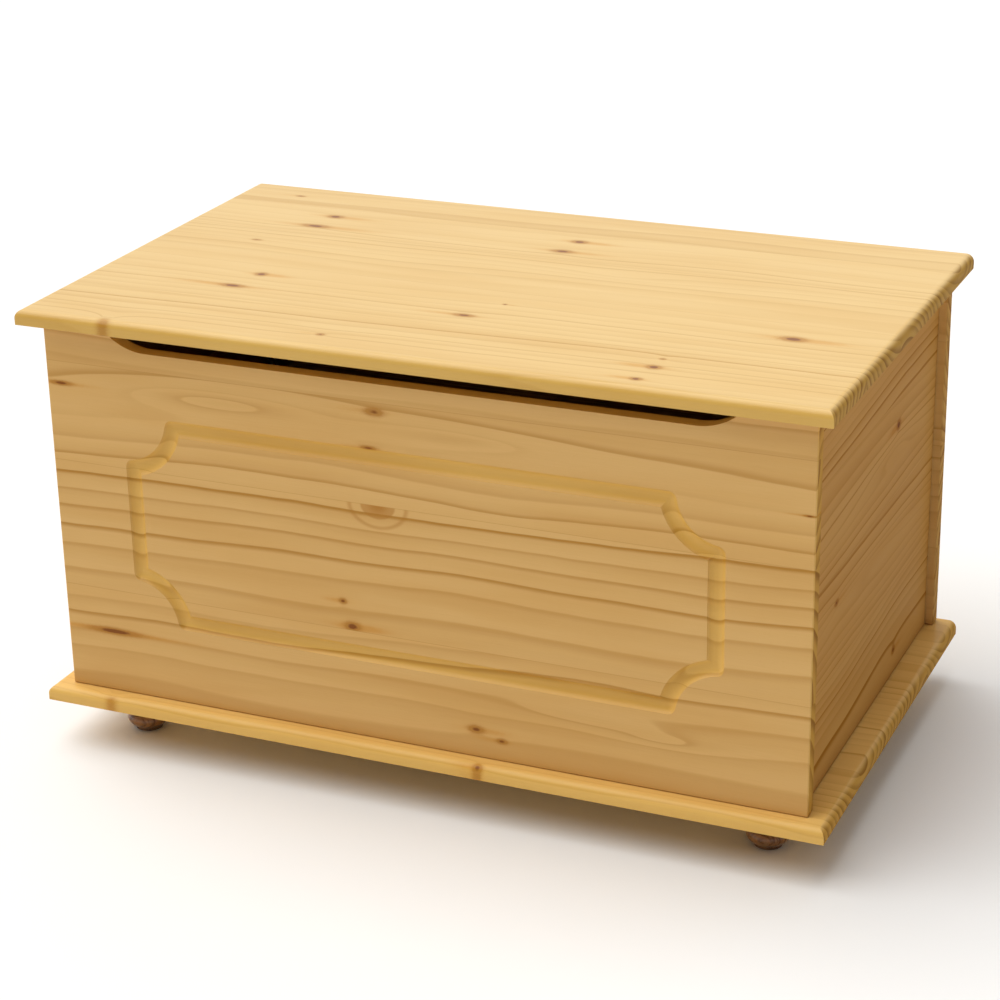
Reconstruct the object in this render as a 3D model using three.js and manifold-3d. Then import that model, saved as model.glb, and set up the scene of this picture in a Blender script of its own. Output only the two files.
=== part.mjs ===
// Wooden toy box in solid pine: a carcass of four panels on a moulded base with turned feet, and a
// moulded lid on two butt hinges, held open by a slotted friction stay at each end.
// Millimetres, +Z up, +Y towards the back. The origin is on the floor, under the middle of the box.
import * as THREE from 'three';
import { mergeVertices } from 'three/addons/utils/BufferGeometryUtils.js';
import Module from 'manifold-3d';

const wasm = await Module();
wasm.setup();

// ---------------------------------------------------------------- driving dimensions

const GAP = 0.3; // clearance left between pieces that touch
const HOLE_CLEARANCE = 0.6; // radius of a hole beyond the dowel or the screw head in it
const OVERCUT = 1; // distance that a cut runs on past the wood or the metal

const CARCASS_WIDTH = 764; // length of the front and back panels
const CARCASS_DEPTH = 453; // front face to back face
const WALL_HEIGHT = 380; // top of the base to the underside of the lid
const WALL_THICKNESS = 15;
const SIDE_INSET = 8.5; // the side panels stand in from the ends of the front and back
const EDGE_EASE = 1; // chamfer along the edges of the panels

const LID_THICKNESS = 15;
const LID_SIDE_OVERHANG = 18;
const LID_FRONT_OVERHANG = 19;
const LID_BACK_OVERHANG = 8;
const BASE_THICKNESS = 15;
const BASE_SIDE_OVERHANG = 20;
const BASE_FRONT_OVERHANG = 17;
const BASE_BACK_OVERHANG = 4;
const MOULDING_RADIUS = 8; // quarter round on the front and ends of the lid and the base

const FINGER_GAP_DEPTH = 20; // low stretch in the top edge of the front, which also lets air in
const FINGER_GAP_MARGIN = 110; // end of the front panel to the end of the flat stretch
const FINGER_GAP_RADIUS = 60; // sweep from the flat stretch up to the top edge

const FRAME_SIDE_MARGIN = 80.5; // edges of the front panel to the outside of the routed frame
const FRAME_TOP_MARGIN = 83.5;
const FRAME_BOTTOM_MARGIN = 79.5;
const SCALLOP_RADIUS = 46; // hollow corners of the frame, at the outside of the groove
const GROOVE_WIDTH = 16.5;
const GROOVE_DEPTH = 4.5;

const FOOT_HEIGHT = 48;
const FOOT_RADIUS = 21.5;
const FOOT_WAIST = 13; // height of the widest part of the ball
const FOOT_LOWER_RISE = 13.8; // the ball is half of one ellipse below its waist, and half of a
const FOOT_UPPER_RISE = 17; // taller one above it
const FOOT_NECK_RADIUS = 12;
const FOOT_TOP_RADIUS = 15;
const FOOT_TOP_HEIGHT = 2;
const FOOT_BEAD_RADIUS = 17.5;
const FOOT_BEAD_HEIGHT = 9;
const FOOT_BEAD_ROUND = 3.5; // how far the bead bulges
const FOOT_SIDE_INSET = 72; // edges of the base to the middle of a foot
const FOOT_END_INSET = 68;

const HINGE_OFFSET = 255; // middle of the box to the middle of a hinge
const HINGE_LENGTH = 50;
const HINGE_LEAF_DROP = 20; // height of the leaf on the back panel, from the pin
const LEAF_THICKNESS = 1.2;
const KNUCKLE_RADIUS = 2.6;
const KNUCKLES = 5;
const PIN_RADIUS = 1.1;
const PIN_HEAD_RADIUS = 1.9;
const PIN_HEAD_HEIGHT = 1.2;
const HINGE_SCREW_SPREAD = 34;

const STAY_RADIUS = 130; // hinge pin to each pivot of a stay, the same for both ends of the arm
const STAY_DROP = 13; // underside of the lid to the pivot on the lid
const STAY_ANGLE = 40; // degrees that the stud on the wall lies below the level of the hinge pin
const LID_OPENING = 95; // degrees that the lid opens
const STAY_SHEET = 2; // thickness of the arm, the bracket and the wall plate
const STAY_STANDOFF = 7.5; // side panel to the face of the arm that is turned to it
const ARM_HALF_WIDTH = 8;
const STUD_RADIUS = 3;
const STUD_SHOULDER_RADIUS = 7;
const STUD_PROJECTION = 7; // stud beyond the arm
const SLOT_END_PLAY = 4; // slot beyond the stud at each end of its travel
const NUT_RADIUS = 6.4; // to the corners
const NUT_LENGTH = 10;
const NUT_CROWN_RADIUS = 3.84;
const NUT_CROWN_HEIGHT = 2;
const WALL_PLATE = { halfHeight: 24, halfWidth: 10, screwMargin: 8 };
const BRACKET = { halfLength: 16, reach: 18, earRadius: 7, screwMargin: 6 };
const RIVET = { radius: 2.4, headRadius: 4.6, headHeight: 1.4, headChamfer: 1.2 };

const WOOD_SCREW = { shank: 2, head: 3.9, length: 40 };
const FOOT_SCREW = { shank: 2.2, head: 4.2, length: 35 };
const SHORT_SCREW = { shank: 1.5, head: 2.9, length: 12 };
const HEAD_SINK = 0.2; // top of a screw head below the surface that it is driven into
// Cross recess in a screw's head, as shares of the head, of the shank and of the cone.
const RECESS = { reach: 0.62, halfWidth: 0.28, depth: 0.8 };
const DOWEL = { radius: 4, length: 30, chamfer: 1, inPanel: 10 };
const DOWEL_END_MARGIN = 60; // ends of a corner joint to its dowels
const BASE_SCREW_OFFSET = 250; // middle of the box to the screws up into the front and back

// Facets round a full turn: screws, pins and their holes; barrels, studs and rivets; feet.
const FINE_TURN = 8;
const SMALL_TURN = 12;
const LARGE_TURN = 18;
const HEXAGON = 6;
const CUTTER_TURN = 28; // the router cutter, and its path round a hollow corner
const SCALLOP_TURN = 48;
const ARC_STEPS = 8; // facets along a drawn arc
const SWEEP_STEPS = 16; // along the sweeps of the finger gap
const COVE_STEPS = 4; // from the middle of the groove to its edge

// ---------------------------------------------------------------- levels and faces

const baseBottom = FOOT_HEIGHT;
const baseTop = baseBottom + BASE_THICKNESS;
const lidBottom = baseTop + WALL_HEIGHT;
const lidTop = lidBottom + LID_THICKNESS;
const wallBottom = baseTop + GAP;
const wallTop = lidBottom - GAP;

const lidHalfWidth = CARCASS_WIDTH / 2 + LID_SIDE_OVERHANG;
const lidBack = (CARCASS_DEPTH + LID_FRONT_OVERHANG + LID_BACK_OVERHANG) / 2;
const backFace = lidBack - LID_BACK_OVERHANG;
const backInside = backFace - WALL_THICKNESS;
const frontFace = backFace - CARCASS_DEPTH;
const frontInside = frontFace + WALL_THICKNESS;
const sideFace = CARCASS_WIDTH / 2 - SIDE_INSET;
const sideInside = sideFace - WALL_THICKNESS;
const sideMiddle = (sideFace + sideInside) / 2;

const baseHalfWidth = CARCASS_WIDTH / 2 + BASE_SIDE_OVERHANG;
const baseFront = frontFace - BASE_FRONT_OVERHANG;
const baseBack = backFace + BASE_BACK_OVERHANG;

// The hinge pin lies behind the back panel, under the overhang of the lid.
const pinY = backFace + GAP + KNUCKLE_RADIUS;
const pinZ = lidBottom - GAP - KNUCKLE_RADIUS;

// ---------------------------------------------------------------- materials

const finish = (color, roughness, metalness) => () =>
  new THREE.MeshStandardMaterial({ color, roughness, metalness });
const lacqueredPine = finish(0xe8c07c, 0.35, 0);
const shadedPine = finish(0xb98f58, 0.4, 0);
const stainedWood = finish(0x4a2a14, 0.3, 0);
const beech = finish(0xd9b98a, 0.6, 0);
const brass = finish(0xc9a24a, 0.3, 1);
const zincSteel = finish(0xb4b7ba, 0.35, 1);

// ---------------------------------------------------------------- solids

// A closed solid that can be joined and cut, from any closed three.js geometry.
function solid(geometry) {
  const bare = geometry.clone();
  bare.deleteAttribute('normal');
  bare.deleteAttribute('uv');
  const merged = mergeVertices(bare, 1e-4);
  const corners = merged.index.array;
  const triangles = [];
  for (let i = 0; i < corners.length; i += 3) {
    const [a, b, c] = corners.subarray(i, i + 3);
    if (a !== b && b !== c && c !== a) triangles.push(a, b, c);
  }
  return new wasm.Manifold(
    new wasm.Mesh({
      numProp: 3,
      vertProperties: new Float32Array(merged.attributes.position.array),
      triVerts: new Uint32Array(triangles),
    }),
  );
}

function geometryOf(body) {
  const mesh = body.getMesh();
  const geometry = new THREE.BufferGeometry();
  geometry.setAttribute('position', new THREE.Float32BufferAttribute(mesh.vertProperties, 3));
  geometry.setIndex(new THREE.Uint32BufferAttribute(mesh.triVerts, 1));
  const flat = geometry.toNonIndexed();
  flat.computeVertexNormals();
  return flat;
}

const join = (first, ...others) => others.reduce((whole, next) => whole.add(next), first);
const cut = (first, ...others) => others.reduce((whole, next) => whole.subtract(next), first);

function block(x0, x1, y0, y1, z0, z1) {
  const geometry = new THREE.BoxGeometry(Math.abs(x1 - x0), Math.abs(y1 - y0), Math.abs(z1 - z0));
  return solid(geometry.translate((x0 + x1) / 2, (y0 + y1) / 2, (z0 + z1) / 2));
}

// Extrusions of an outline along one axis. The outline is drawn in (y, z) for alongX, in (x, z)
// for alongY and in (x, y) for alongZ.
function extruded(outline, length, curveSegments = ARC_STEPS) {
  return new THREE.ExtrudeGeometry(outline, { depth: length, bevelEnabled: false, curveSegments });
}

// Moves a drawing from the (x, y) plane to the (y, z) plane.
const ON_ITS_SIDE = new THREE.Matrix4().makeBasis(
  new THREE.Vector3(0, 1, 0),
  new THREE.Vector3(0, 0, 1),
  new THREE.Vector3(1, 0, 0),
);

function sideways(outline, x0, x1) {
  const geometry = extruded(outline, Math.abs(x1 - x0)).applyMatrix4(ON_ITS_SIDE);
  return geometry.translate(Math.min(x0, x1), 0, 0);
}

const alongX = (outline, x0, x1) => solid(sideways(outline, x0, x1));

function alongY(outline, y0, y1, curveSegments) {
  const geometry = extruded(outline, y1 - y0, curveSegments).rotateX(Math.PI / 2);
  return solid(geometry.translate(0, y1, 0));
}

const alongZ = (outline, z0, z1) => solid(extruded(outline, z1 - z0).translate(0, 0, z0));

// A turned piece around +Z, from [radius, height] points listed upwards along its outside.
function turned(profile, segments = SMALL_TURN) {
  const points = profile.map(([radius, height]) => new THREE.Vector2(radius, height));
  return new THREE.LatheGeometry(points, segments).rotateX(Math.PI / 2);
}

// Turns a piece that points along -Z to point along another direction, with its origin at a place.
function aim(geometry, direction, place) {
  const turn = new THREE.Quaternion().setFromUnitVectors(new THREE.Vector3(0, 0, -1), direction);
  return geometry.clone().applyQuaternion(turn).translate(place.x, place.y, place.z);
}

const UP = new THREE.Vector3(0, 0, 1);
const DOWN = new THREE.Vector3(0, 0, -1);
const FORWARDS = new THREE.Vector3(0, -1, 0);
const BACKWARDS = new THREE.Vector3(0, 1, 0);
const outwards = (side) => new THREE.Vector3(side, 0, 0);
const at = (x, y, z) => new THREE.Vector3(x, y, z);

function easedRectangle(x0, x1, y0, y1, ease) {
  return new THREE.Shape([
    new THREE.Vector2(x0 + ease, y0),
    new THREE.Vector2(x1 - ease, y0),
    new THREE.Vector2(x1, y0 + ease),
    new THREE.Vector2(x1, y1 - ease),
    new THREE.Vector2(x1 - ease, y1),
    new THREE.Vector2(x0 + ease, y1),
    new THREE.Vector2(x0, y1 - ease),
    new THREE.Vector2(x0, y0 + ease),
  ]);
}

// ---------------------------------------------------------------- the pieces, by name

const pieces = new Map();
const add = (name, body, material) => pieces.set(name, { body, material });

function trim(names, cutter) {
  for (const name of names) pieces.get(name).body = pieces.get(name).body.subtract(cutter);
}

// ---------------------------------------------------------------- boards and panels

// A board with a quarter round along its front and its two ends, and a square back edge. The two
// profiles cross at the front corners, which leaves a mitre there as the cutter does.
function mouldedBoard(halfWidth, front, back, bottom, top) {
  const radius = MOULDING_RADIUS;
  const lengthwise = new THREE.Shape();
  lengthwise.moveTo(front, bottom);
  lengthwise.lineTo(back, bottom);
  lengthwise.lineTo(back, top);
  lengthwise.lineTo(front + radius, top);
  lengthwise.absarc(front + radius, top - radius, radius, Math.PI / 2, Math.PI, false);
  const crosswise = new THREE.Shape();
  crosswise.moveTo(-halfWidth, bottom);
  crosswise.lineTo(halfWidth, bottom);
  crosswise.absarc(halfWidth - radius, top - radius, radius, 0, Math.PI / 2, false);
  crosswise.absarc(-halfWidth + radius, top - radius, radius, Math.PI / 2, Math.PI, false);
  const run = alongX(lengthwise, -halfWidth, halfWidth);
  return run.intersect(alongY(crosswise, front, back));
}

function easedPanel(x0, x1, y0, y1, z0, z1) {
  const face = alongY(easedRectangle(x0, x1, z0, z1, EDGE_EASE), y0, y1);
  const plan = alongZ(easedRectangle(x0, x1, y0, y1, EDGE_EASE), z0, z1);
  const end = alongX(easedRectangle(y0, y1, z0, z1, EDGE_EASE), x0, x1);
  return face.intersect(plan).intersect(end);
}

// The low stretch in the top edge of the front panel, with a sweep at each end.
function fingerGapCutter() {
  const flat = CARCASS_WIDTH / 2 - FINGER_GAP_MARGIN;
  const floor = lidBottom - FINGER_GAP_DEPTH;
  const above = wallTop + OVERCUT;
  const centre = floor + FINGER_GAP_RADIUS;
  const reach = Math.acos((centre - above) / FINGER_GAP_RADIUS);
  const outline = new THREE.Shape();
  outline.moveTo(-flat, floor);
  outline.lineTo(flat, floor);
  outline.absarc(flat, centre, FINGER_GAP_RADIUS, -Math.PI / 2, -Math.PI / 2 + reach, false);
  outline.absarc(-flat, centre, FINGER_GAP_RADIUS, -Math.PI / 2 - reach, -Math.PI / 2, false);
  return alongY(outline, frontFace - OVERCUT, frontInside + OVERCUT, SWEEP_STEPS);
}

// Half of the section of the router cutter: a shallow cove, then straight up out of the wood.
// Points are [distance from the middle of the groove, height above the face of the panel].
function coveHalfSection() {
  const half = GROOVE_WIDTH / 2;
  const radius = (half * half + GROOVE_DEPTH * GROOVE_DEPTH) / (2 * GROOVE_DEPTH);
  const spread = Math.asin(half / radius);
  const points = [];
  for (let i = 0; i <= COVE_STEPS; i += 1) {
    const angle = (spread * i) / COVE_STEPS;
    points.push([radius * Math.sin(angle), radius - GROOVE_DEPTH - radius * Math.cos(angle)]);
  }
  return [...points, [half, OVERCUT]];
}

// The routed frame: straight runs, hollow corners struck from the corners of the frame's outline,
// and the round that the cutter leaves wherever the line turns.
function frameCutter() {
  const half = coveHalfSection();
  const section = [...half.toReversed().map(([u, v]) => [-u, v]), ...half.slice(1)];
  const outerX = CARCASS_WIDTH / 2 - FRAME_SIDE_MARGIN;
  const outerTop = lidBottom - FRAME_TOP_MARGIN;
  const outerBottom = baseTop + FRAME_BOTTOM_MARGIN;
  const inset = GROOVE_WIDTH / 2;
  const sweep = SCALLOP_RADIUS + inset; // radius of the middle of the groove at a hollow corner
  const turn = Math.sqrt(sweep * sweep - inset * inset);

  const across = (middle) => section.map(([u, v]) => new THREE.Vector2(middle + u, frontFace - v));
  const horizontal = (z) => {
    const outline = new THREE.Shape(across(z).map(({ x, y }) => new THREE.Vector2(y, x)));
    return alongX(outline, -outerX + turn, outerX - turn);
  };
  const vertical = (x) => alongZ(new THREE.Shape(across(x)), outerBottom + turn, outerTop - turn);

  const outFromFace = (geometry, x, z) => aim(geometry, BACKWARDS, at(x, frontFace, z));
  const cutterTip = turned([...half, [0, OVERCUT]], CUTTER_TURN);
  const ring = turned([...section, section[0]].map(([u, v]) => [sweep + u, v]), SCALLOP_TURN);

  const parts = [];
  for (const side of [-1, 1]) {
    parts.push(vertical(side * (outerX - inset)));
    for (const [edge, inwards] of [
      [outerTop, -1],
      [outerBottom, 1],
    ]) {
      const cornerX = side * outerX;
      const x0 = cornerX - side * inset;
      const z0 = edge + inwards * inset;
      const quarter = block(
        x0,
        cornerX - side * 2 * sweep,
        frontFace - 2 * OVERCUT,
        frontFace + GROOVE_DEPTH + OVERCUT,
        z0,
        edge + inwards * 2 * sweep,
      );
      parts.push(solid(outFromFace(ring, cornerX, edge)).intersect(quarter));
      parts.push(solid(outFromFace(cutterTip, x0, edge + inwards * turn)));
      parts.push(solid(outFromFace(cutterTip, cornerX - side * turn, z0)));
    }
  }
  return join(horizontal(outerTop - inset), horizontal(outerBottom + inset), ...parts);
}

function makeBoards() {
  const half = CARCASS_WIDTH / 2;
  add('lid_board', mouldedBoard(lidHalfWidth, -lidBack, lidBack, lidBottom, lidTop), lacqueredPine);
  const base = mouldedBoard(baseHalfWidth, baseFront, baseBack, baseBottom, baseTop);
  add('base_board', base, lacqueredPine);
  const front = easedPanel(-half, half, frontFace, frontInside, wallBottom, wallTop);
  add('front_panel', cut(front, fingerGapCutter(), frameCutter()), lacqueredPine);
  const back = easedPanel(-half, half, backInside, backFace, wallBottom, wallTop);
  add('back_panel', back, lacqueredPine);
  const y0 = frontInside + GAP;
  const y1 = backInside - GAP;
  const left = easedPanel(-sideFace, -sideInside, y0, y1, wallBottom, wallTop);
  const right = easedPanel(sideInside, sideFace, y0, y1, wallBottom, wallTop);
  add('left_side_panel', left, shadedPine);
  add('right_side_panel', right, shadedPine);
}

// ---------------------------------------------------------------- screws and dowels

// A countersunk screw with its head at the origin, pointing along -Z, and the hole that clears it.
function screwGeometry({ shank, head, length }) {
  const cone = head - shank;
  const body = solid(
    turned(
      [
        [0, -length],
        [shank, -length + 2 * shank],
        [shank, -cone],
        [head, 0],
        [0, 0],
      ],
      FINE_TURN,
    ),
  );
  const reach = head * RECESS.reach;
  const half = shank * RECESS.halfWidth;
  const depth = cone * RECESS.depth;
  const first = block(-reach, reach, -half, half, -depth, OVERCUT);
  return geometryOf(cut(body, first, block(-half, half, -reach, reach, -depth, OVERCUT)));
}

function screwHole({ shank, head, length }) {
  const cone = head - shank;
  return turned(
    [
      [0, -length - GAP],
      [shank + GAP, -length + 2 * shank - GAP],
      [shank + GAP, -cone - GAP],
      [head + HOLE_CLEARANCE, 0],
      [head + HOLE_CLEARANCE, HEAD_SINK + OVERCUT],
      [0, HEAD_SINK + OVERCUT],
    ],
    FINE_TURN,
  );
}

function drive(name, spec, direction, place, through, material = zincSteel) {
  const seat = place.clone().addScaledVector(direction, HEAD_SINK);
  trim(through, solid(aim(screwHole(spec), direction, seat)));
  add(name, solid(aim(screwGeometry(spec), direction, seat)), material);
}

function dowelProfile(radius, length, chamfer) {
  return [
    [0, -length],
    [radius - chamfer, -length],
    [radius, -length + chamfer],
    [radius, -chamfer],
    [radius - chamfer, 0],
    [0, 0],
  ];
}

// A dowel across the joint between a side panel's end and the front or the back panel.
function cornerDowels() {
  const { radius, length, chamfer, inPanel } = DOWEL;
  const plain = turned(dowelProfile(radius, length, chamfer), FINE_TURN);
  const holeProfile = dowelProfile(radius + HOLE_CLEARANCE, length + 2 * GAP, 0);
  const hole = turned(holeProfile, FINE_TURN).translate(0, 0, GAP);
  const levels = [
    ['lower', wallBottom + DOWEL_END_MARGIN],
    ['upper', wallTop - DOWEL_END_MARGIN],
  ];
  for (const [sideName, side] of [['left', -1], ['right', 1]]) {
    for (const [endName, face, direction] of [
      ['front', frontInside - inPanel, BACKWARDS],
      ['back', backInside + inPanel, FORWARDS],
    ]) {
      for (const [levelName, level] of levels) {
        const place = at(side * sideMiddle, face, level);
        trim([`${endName}_panel`, `${sideName}_side_panel`], solid(aim(hole, direction, place)));
        add(`${endName}_${sideName}_dowel_${levelName}`, solid(aim(plain, direction, place)), beech);
      }
    }
  }
}

function baseScrews() {
  const frontMiddle = (frontFace + frontInside) / 2;
  const backMiddle = (backFace + backInside) / 2;
  const rows = [
    ['front_left', -BASE_SCREW_OFFSET, frontMiddle, 'front_panel'],
    ['front_right', BASE_SCREW_OFFSET, frontMiddle, 'front_panel'],
    ['back_left', -BASE_SCREW_OFFSET, backMiddle, 'back_panel'],
    ['back_right', BASE_SCREW_OFFSET, backMiddle, 'back_panel'],
    ['left', -sideMiddle, (frontMiddle + backMiddle) / 2, 'left_side_panel'],
    ['right', sideMiddle, (frontMiddle + backMiddle) / 2, 'right_side_panel'],
  ];
  for (const [name, x, y, panel] of rows) {
    drive(`base_screw_${name}`, WOOD_SCREW, UP, at(x, y, baseBottom), ['base_board', panel]);
  }
}

// ---------------------------------------------------------------- feet

// A flattened ball, a narrow neck and a bead under the base, in [radius, height] points.
function footProfile() {
  const ball = (angle, rise) => [FOOT_RADIUS * Math.cos(angle), FOOT_WAIST + rise * Math.sin(angle)];
  const sole = -Math.asin(FOOT_WAIST / FOOT_LOWER_RISE);
  const shoulder = Math.acos(FOOT_NECK_RADIUS / FOOT_RADIUS);
  const points = [[0, 0], [ball(sole, FOOT_LOWER_RISE)[0], 0]];
  for (const share of [3 / 4, 1 / 2, 1 / 4, 0]) points.push(ball(sole * share, FOOT_LOWER_RISE));
  for (const share of [1 / 3, 2 / 3, 1]) points.push(ball(shoulder * share, FOOT_UPPER_RISE));

  const top = FOOT_HEIGHT - GAP;
  const beadBottom = top - FOOT_TOP_HEIGHT - FOOT_BEAD_HEIGHT;
  const beadMiddle = beadBottom + FOOT_BEAD_HEIGHT / 2;
  const beadInner = FOOT_BEAD_RADIUS - FOOT_BEAD_ROUND;
  points.push([FOOT_NECK_RADIUS, beadBottom - FOOT_TOP_HEIGHT]);
  for (const share of [-1, -1 / 2, 0, 1 / 2, 1]) {
    const angle = (Math.PI / 2) * share;
    const rise = (FOOT_BEAD_HEIGHT / 2) * Math.sin(angle);
    points.push([beadInner + FOOT_BEAD_ROUND * Math.cos(angle), beadMiddle + rise]);
  }
  points.push([FOOT_TOP_RADIUS, top - FOOT_TOP_HEIGHT / 2], [FOOT_TOP_RADIUS, top], [0, top]);
  return points;
}

function makeFeet() {
  const foot = turned(footProfile(), LARGE_TURN);
  const x = baseHalfWidth - FOOT_SIDE_INSET;
  const rows = [
    ['front_left', -x, baseFront + FOOT_END_INSET],
    ['front_right', x, baseFront + FOOT_END_INSET],
    ['back_left', -x, baseBack - FOOT_END_INSET],
    ['back_right', x, baseBack - FOOT_END_INSET],
  ];
  for (const [name, footX, footY] of rows) {
    add(`${name}_foot`, solid(foot.clone().translate(footX, footY, 0)), stainedWood);
    const place = at(footX, footY, baseTop);
    drive(`${name}_foot_screw`, FOOT_SCREW, DOWN, place, ['base_board', `${name}_foot`]);
  }
}

// ---------------------------------------------------------------- hinges

// The rolled barrels of one leaf: every second knuckle along the pin.
function barrels(middle, first) {
  const pitch = (HINGE_LENGTH + GAP) / KNUCKLES;
  const length = pitch - GAP;
  const barrel = turned([[0, -length], [KNUCKLE_RADIUS, -length], [KNUCKLE_RADIUS, 0], [0, 0]]);
  const bodies = [];
  for (let i = first; i < KNUCKLES; i += 2) {
    const start = middle - HINGE_LENGTH / 2 + i * pitch;
    const body = solid(aim(barrel, outwards(1), at(start, pinY, pinZ)));
    bodies.push({ start, end: start + length, body });
  }
  return bodies;
}

function hingeLeaf(middle, first, plate, tongue) {
  const own = barrels(middle, first);
  const tongues = own.map(({ start, end }) => block(start, end, ...tongue));
  const whole = join(plate, ...tongues, ...own.map(({ body }) => body));
  const boreRadius = PIN_RADIUS + GAP;
  const length = HINGE_LENGTH + 2 * OVERCUT;
  const bore = turned([[0, -length], [boreRadius, -length], [boreRadius, 0], [0, 0]], FINE_TURN);
  return cut(whole, solid(aim(bore, outwards(1), at(middle - length / 2, pinY, pinZ))));
}

function hingePin(middle) {
  const head = PIN_HEAD_RADIUS;
  const length = HINGE_LENGTH + 2 * GAP;
  const profile = [
    [0, -length - PIN_HEAD_HEIGHT],
    [head, -length - PIN_HEAD_HEIGHT],
    [head, -length],
    [PIN_RADIUS, -length],
    [PIN_RADIUS, 0],
    [head, 0],
    [head, PIN_HEAD_HEIGHT],
    [0, PIN_HEAD_HEIGHT],
  ];
  return solid(aim(turned(profile, FINE_TURN), outwards(1), at(middle - length / 2, pinY, pinZ)));
}

function makeHinge(name, middle) {
  const x0 = middle - HINGE_LENGTH / 2;
  const x1 = middle + HINGE_LENGTH / 2;
  const clear = KNUCKLE_RADIUS + GAP; // distance that a plate keeps from the other leaf's barrels

  const leafTop = pinZ + KNUCKLE_RADIUS;
  const leafBottom = leafTop - LEAF_THICKNESS;
  const lidPlate = block(x0, x1, backInside + 2 * GAP, pinY - clear, leafBottom, leafTop);
  const lidTongue = [pinY - clear - OVERCUT, pinY, leafBottom, leafTop];
  add(`${name}_hinge_lid_leaf`, hingeLeaf(middle, 1, lidPlate, lidTongue), brass);
  const notch = [backInside - OVERCUT, backFace + OVERCUT, leafBottom - GAP, wallTop + OVERCUT];
  trim(['back_panel'], block(x0 - GAP, x1 + GAP, ...notch));

  const leafFace = pinY - KNUCKLE_RADIUS;
  const leafBack = leafFace + LEAF_THICKNESS;
  const leafFoot = pinZ - HINGE_LEAF_DROP;
  const framePlate = block(x0, x1, leafFace, leafBack, leafFoot, pinZ - clear);
  const frameTongue = [leafFace, leafBack, pinZ - clear - OVERCUT, pinZ];
  add(`${name}_hinge_frame_leaf`, hingeLeaf(middle, 0, framePlate, frameTongue), brass);
  add(`${name}_hinge_pin`, hingePin(middle), brass);

  const screwLevel = (leafFoot + pinZ - clear) / 2;
  const screwY = (backInside + backFace) / 2;
  for (const [number, side] of [[1, -1], [2, 1]]) {
    const x = middle + (side * HINGE_SCREW_SPREAD) / 2;
    const lidPlace = at(x, screwY, leafBottom);
    const lidThrough = [`${name}_hinge_lid_leaf`, 'lid_board'];
    drive(`${name}_hinge_lid_screw_${number}`, SHORT_SCREW, UP, lidPlace, lidThrough, brass);
    const framePlace = at(x, leafBack, screwLevel);
    const frameThrough = [`${name}_hinge_frame_leaf`, 'back_panel'];
    const frameScrew = `${name}_hinge_frame_screw_${number}`;
    drive(frameScrew, SHORT_SCREW, FORWARDS, framePlace, frameThrough, brass);
  }
}

// ---------------------------------------------------------------- lid stays

// Both pivots of a stay lie at one distance from the hinge pin, so its arm turns by half of the
// angle that the lid opens, while it slides over the stud on the wall.
const lidPivot = {
  y: pinY - Math.sqrt(STAY_RADIUS ** 2 - (lidBottom - STAY_DROP - pinZ) ** 2),
  z: lidBottom - STAY_DROP,
};
const stud = {
  y: pinY - STAY_RADIUS * Math.cos(THREE.MathUtils.degToRad(STAY_ANGLE)),
  z: pinZ - STAY_RADIUS * Math.sin(THREE.MathUtils.degToRad(STAY_ANGLE)),
};
const chordShut = Math.hypot(stud.y - lidPivot.y, stud.z - lidPivot.z);
const angleShut = 2 * Math.asin(chordShut / (2 * STAY_RADIUS));
const angleOpen = angleShut + THREE.MathUtils.degToRad(LID_OPENING);
const chordOpen = 2 * STAY_RADIUS * Math.sin(angleOpen / 2);

const armTurn = Math.atan2(stud.z - lidPivot.z, stud.y - lidPivot.y);

// Planes of a stay, as distances from the middle plane of the box towards the stay's own side.
const wallFace = sideInside - GAP;
const plateFace = wallFace - STAY_SHEET;
const armFar = sideInside - STAY_STANDOFF;
const armNear = armFar - STAY_SHEET;
const studTip = armNear - STUD_PROJECTION;
const nutFace = armNear - GAP;
const earNear = armFar + GAP;
const earFar = earNear + STAY_SHEET;
const bracketInner = armNear - BRACKET.reach;
const bracketTop = lidBottom - GAP;
const bracketBottom = bracketTop - STAY_SHEET;

// A strip with round ends about the points (start, 0) and (end, 0).
function strip(start, end, halfWidth) {
  const outline = new THREE.Shape();
  outline.absarc(end, 0, halfWidth, -Math.PI / 2, Math.PI / 2, false);
  outline.absarc(start, 0, halfWidth, Math.PI / 2, Math.PI * 1.5, false);
  return outline;
}

function disc(radius) {
  const outline = new THREE.Path();
  outline.absarc(0, 0, radius, 0, Math.PI, false);
  outline.absarc(0, 0, radius, Math.PI, Math.PI * 2, false);
  return outline;
}

// A turned piece whose axis runs across the box, with its profile's -Z end towards the wall.
const crosswise = (profile, side, x, { y, z }) =>
  solid(aim(turned(profile), outwards(side), at(side * x, y, z)));

// Wall plate with its stud, which has a shoulder behind the arm.
function makeWallPlate(name, side) {
  const { halfHeight, halfWidth, screwMargin } = WALL_PLATE;
  const outline = strip(-halfHeight + halfWidth, halfHeight - halfWidth, halfWidth);
  const plate = sideways(outline, side * plateFace, side * wallFace);
  plate.rotateX(Math.PI / 2).translate(0, stud.y, stud.z);
  const root = studTip - plateFace - STAY_SHEET / 2;
  const shoulder = studTip - armFar - GAP;
  const profile = [
    [0, root],
    [STUD_SHOULDER_RADIUS, root],
    [STUD_SHOULDER_RADIUS, shoulder],
    [STUD_RADIUS, shoulder],
    [STUD_RADIUS, 0],
    [0, 0],
  ];
  add(`${name}_stay_wall_plate`, join(solid(plate), crosswise(profile, side, studTip, stud)), zincSteel);
  for (const [number, direction] of [[1, -1], [2, 1]]) {
    const place = at(side * plateFace, stud.y, stud.z + direction * (halfHeight - screwMargin));
    const through = [`${name}_stay_wall_plate`, `${name}_side_panel`];
    drive(`${name}_stay_wall_screw_${number}`, SHORT_SCREW, outwards(side), place, through);
  }
}

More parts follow.
